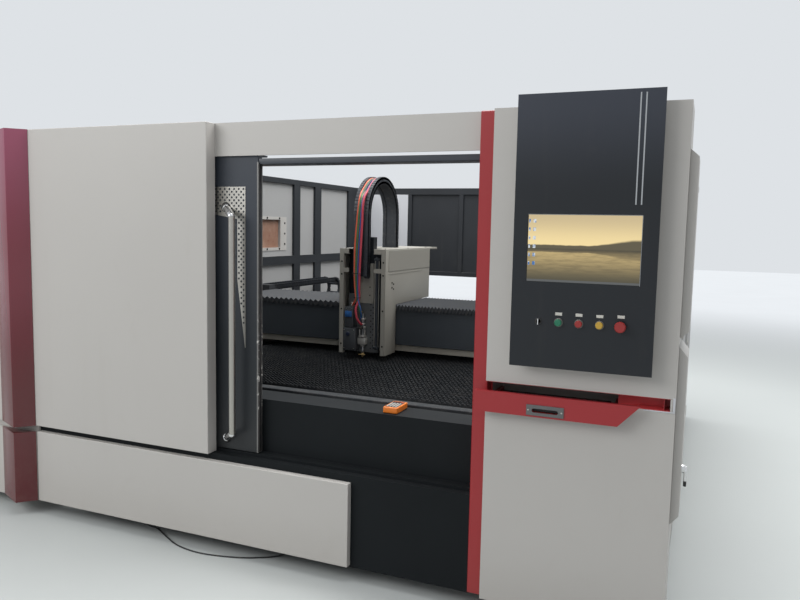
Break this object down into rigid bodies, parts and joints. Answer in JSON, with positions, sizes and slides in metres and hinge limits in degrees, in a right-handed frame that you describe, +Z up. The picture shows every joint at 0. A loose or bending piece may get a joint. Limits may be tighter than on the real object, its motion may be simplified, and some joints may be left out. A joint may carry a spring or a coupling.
{
  "type": "fiber laser cutting machine",
  "caption": "Enclosed sheet-metal laser cutter with sliding front door, toothed slat table, moving gantry with cutting head, red trim and operator console.",
  "frame": {"origin": "centre of the footprint on the floor", "axes": "+X along the front to the right, +Y into the machine, +Z up"},
  "size_m": [3.94, 4, 2.082],
  "materials": {
    "panel_paint": "light grey powder coat, satin",
    "wall_paint": "grey paint, dusty satin",
    "dark_paint": "dark blue-grey paint, satin",
    "leaf_paint": "dark blue-grey paint, satin",
    "black_paint": "black paint, dusty",
    "red_paint": "red powder coat, satin",
    "wine_gloss": "wine red gloss",
    "beige_paint": "beige paint, satin, scuffed",
    "bare_steel": "bare steel, dull",
    "scaled_steel": "mill scale and slag, dull",
    "nickel_bar": "brushed stainless tube",
    "bare_aluminium": "milled aluminium",
    "chrome_plate": "polished chrome",
    "amber_pane": "amber laser safety pane",
    "screen_glass": "display glass",
    "orange_plastic": "orange moulded plastic",
    "grey_plastic": "grey moulded plastic",
    "black_plastic": "black moulded plastic",
    "green_plastic": "green button",
    "red_plastic": "red button",
    "yellow_plastic": "yellow button",
    "bellows_cloth": "coated bellows cloth",
    "cable_rubber": "black cable sheath"
  },
  "bodies": {
    "machine": {"machine_bed": "dark_paint", "foot_front_left": "bare_steel", "foot_front_right": "bare_steel", "foot_rear_left": "bare_steel", "foot_rear_right": "bare_steel", "scrap_hopper": "scaled_steel", "y_rail_left": "bare_steel", "y_rail_right": "bare_steel", "front_ledge": "black_paint", "left_wall": "wall_paint", "left_wall_frame": "black_paint", "window_frame": "panel_paint", "window_pane": "amber_pane", "right_wall": "wall_paint", "rear_wall": "black_paint", "rear_white_panel": "wall_paint", "left_end_cabinet": "panel_paint", "left_trim_upper": "wine_gloss", "left_trim_lower": "wine_gloss", "door_pocket_cover": "panel_paint", "lower_front_panel": "panel_paint", "lower_dark_panel": "black_paint", "top_fascia": "panel_paint", "door_top_rail": "black_paint", "red_stripe_post": "red_paint", "console_cabinet": "panel_paint", "drawer_slot_lining": "red_paint", "console_housing": "panel_paint", "console_plate": "dark_paint", "console_screen": "screen_glass", "side_cover_upper": "panel_paint", "remote_control": "orange_plastic", "floor_cable": "cable_rubber", "y_chain": "black_plastic"},
    "table": {"slat_table": "scaled_steel"},
    "door": {"door_leaf": "leaf_paint", "perforated_plate": "bare_steel", "pull_bar": "nickel_bar"},
    "drawer": {"drawer": "red_paint", "drawer_pull": "grey_plastic", "keyboard": "black_plastic"},
    "gantry": {"gantry_beam": "beige_paint", "gantry_front_cover": "black_paint", "bellows_left": "bellows_cloth", "bellows_right": "bellows_cloth"},
    "carriage": {"carriage_frame": "beige_paint", "z_column": "dark_paint", "hose_arch": "black_plastic"},
    "head": {"z_plate": "bare_aluminium", "head_tan_plate": "beige_paint", "head_body": "grey_plastic", "head_sensor": "bare_steel", "nozzle": "bare_steel"},
    "green_push": {"green_button": "green_plastic"},
    "red_push": {"red_button": "red_plastic"},
    "yellow_push": {"yellow_button": "yellow_plastic"},
    "stop_push": {"emergency_stop": "red_plastic"},
    "key": {"key_switch": "chrome_plate"},
    "side_door": {"side_door": "panel_paint"},
    "side_lever": {"side_door_handle": "chrome_plate"}
  },
  "joints": [
    {"name": "table_exchange", "type": "slide", "parent": "machine", "child": "table", "axis": [0, 1, 0], "range_m": [0, 3.62]},
    {"name": "door_slide", "type": "slide", "parent": "machine", "child": "door", "axis": [1, 0, 0], "range_m": [0, 1.061]},
    {"name": "drawer_slide", "type": "slide", "parent": "machine", "child": "drawer", "axis": [0, 1, 0], "range_m": [-0.17, 0.05]},
    {"name": "gantry_travel", "type": "slide", "parent": "machine", "child": "gantry", "axis": [0, 1, 0], "range_m": [-0.75, 1.55], "deforming": ["y_chain"]},
    {"name": "carriage_travel", "type": "slide", "parent": "gantry", "child": "carriage", "axis": [1, 0, 0], "range_m": [-0.65, 1.05], "deforming": ["bellows_left", "bellows_right"]},
    {"name": "head_travel", "type": "slide", "parent": "carriage", "child": "head", "axis": [0, 0, 1], "range_m": [-0.002, 0.12], "deforming": ["hose_arch"]},
    {"name": "green_press", "type": "slide", "parent": "machine", "child": "green_push", "axis": [0, 1, 0], "range_m": [0, 0.004], "stiffness_N_per_m": 600, "springref_m": -0.003},
    {"name": "red_press", "type": "slide", "parent": "machine", "child": "red_push", "axis": [0, 1, 0], "range_m": [0, 0.004], "stiffness_N_per_m": 600, "springref_m": -0.003},
    {"name": "yellow_press", "type": "slide", "parent": "machine", "child": "yellow_push", "axis": [0, 1, 0], "range_m": [0, 0.004], "stiffness_N_per_m": 600, "springref_m": -0.003},
    {"name": "stop_press", "type": "slide", "parent": "machine", "child": "stop_push", "axis": [0, 1, 0], "range_m": [0, 0.006]},
    {"name": "key_turn", "type": "hinge", "parent": "machine", "child": "key", "pos_m": [1.42, -1.97, 1.24], "axis": [0, 1, 0], "range_deg": [0, 90]},
    {"name": "side_door_hinge", "type": "hinge", "parent": "machine", "child": "side_door", "pos_m": [1.9193, -1.66, 0.835], "axis": [0, 0, 1], "range_deg": [0, 90]},
    {"name": "side_lever_turn", "type": "hinge", "parent": "side_door", "child": "side_lever", "pos_m": [1.9496, -1.84, 0.708], "axis": [1, 0, 0], "range_deg": [0, 90]}
  ]
}
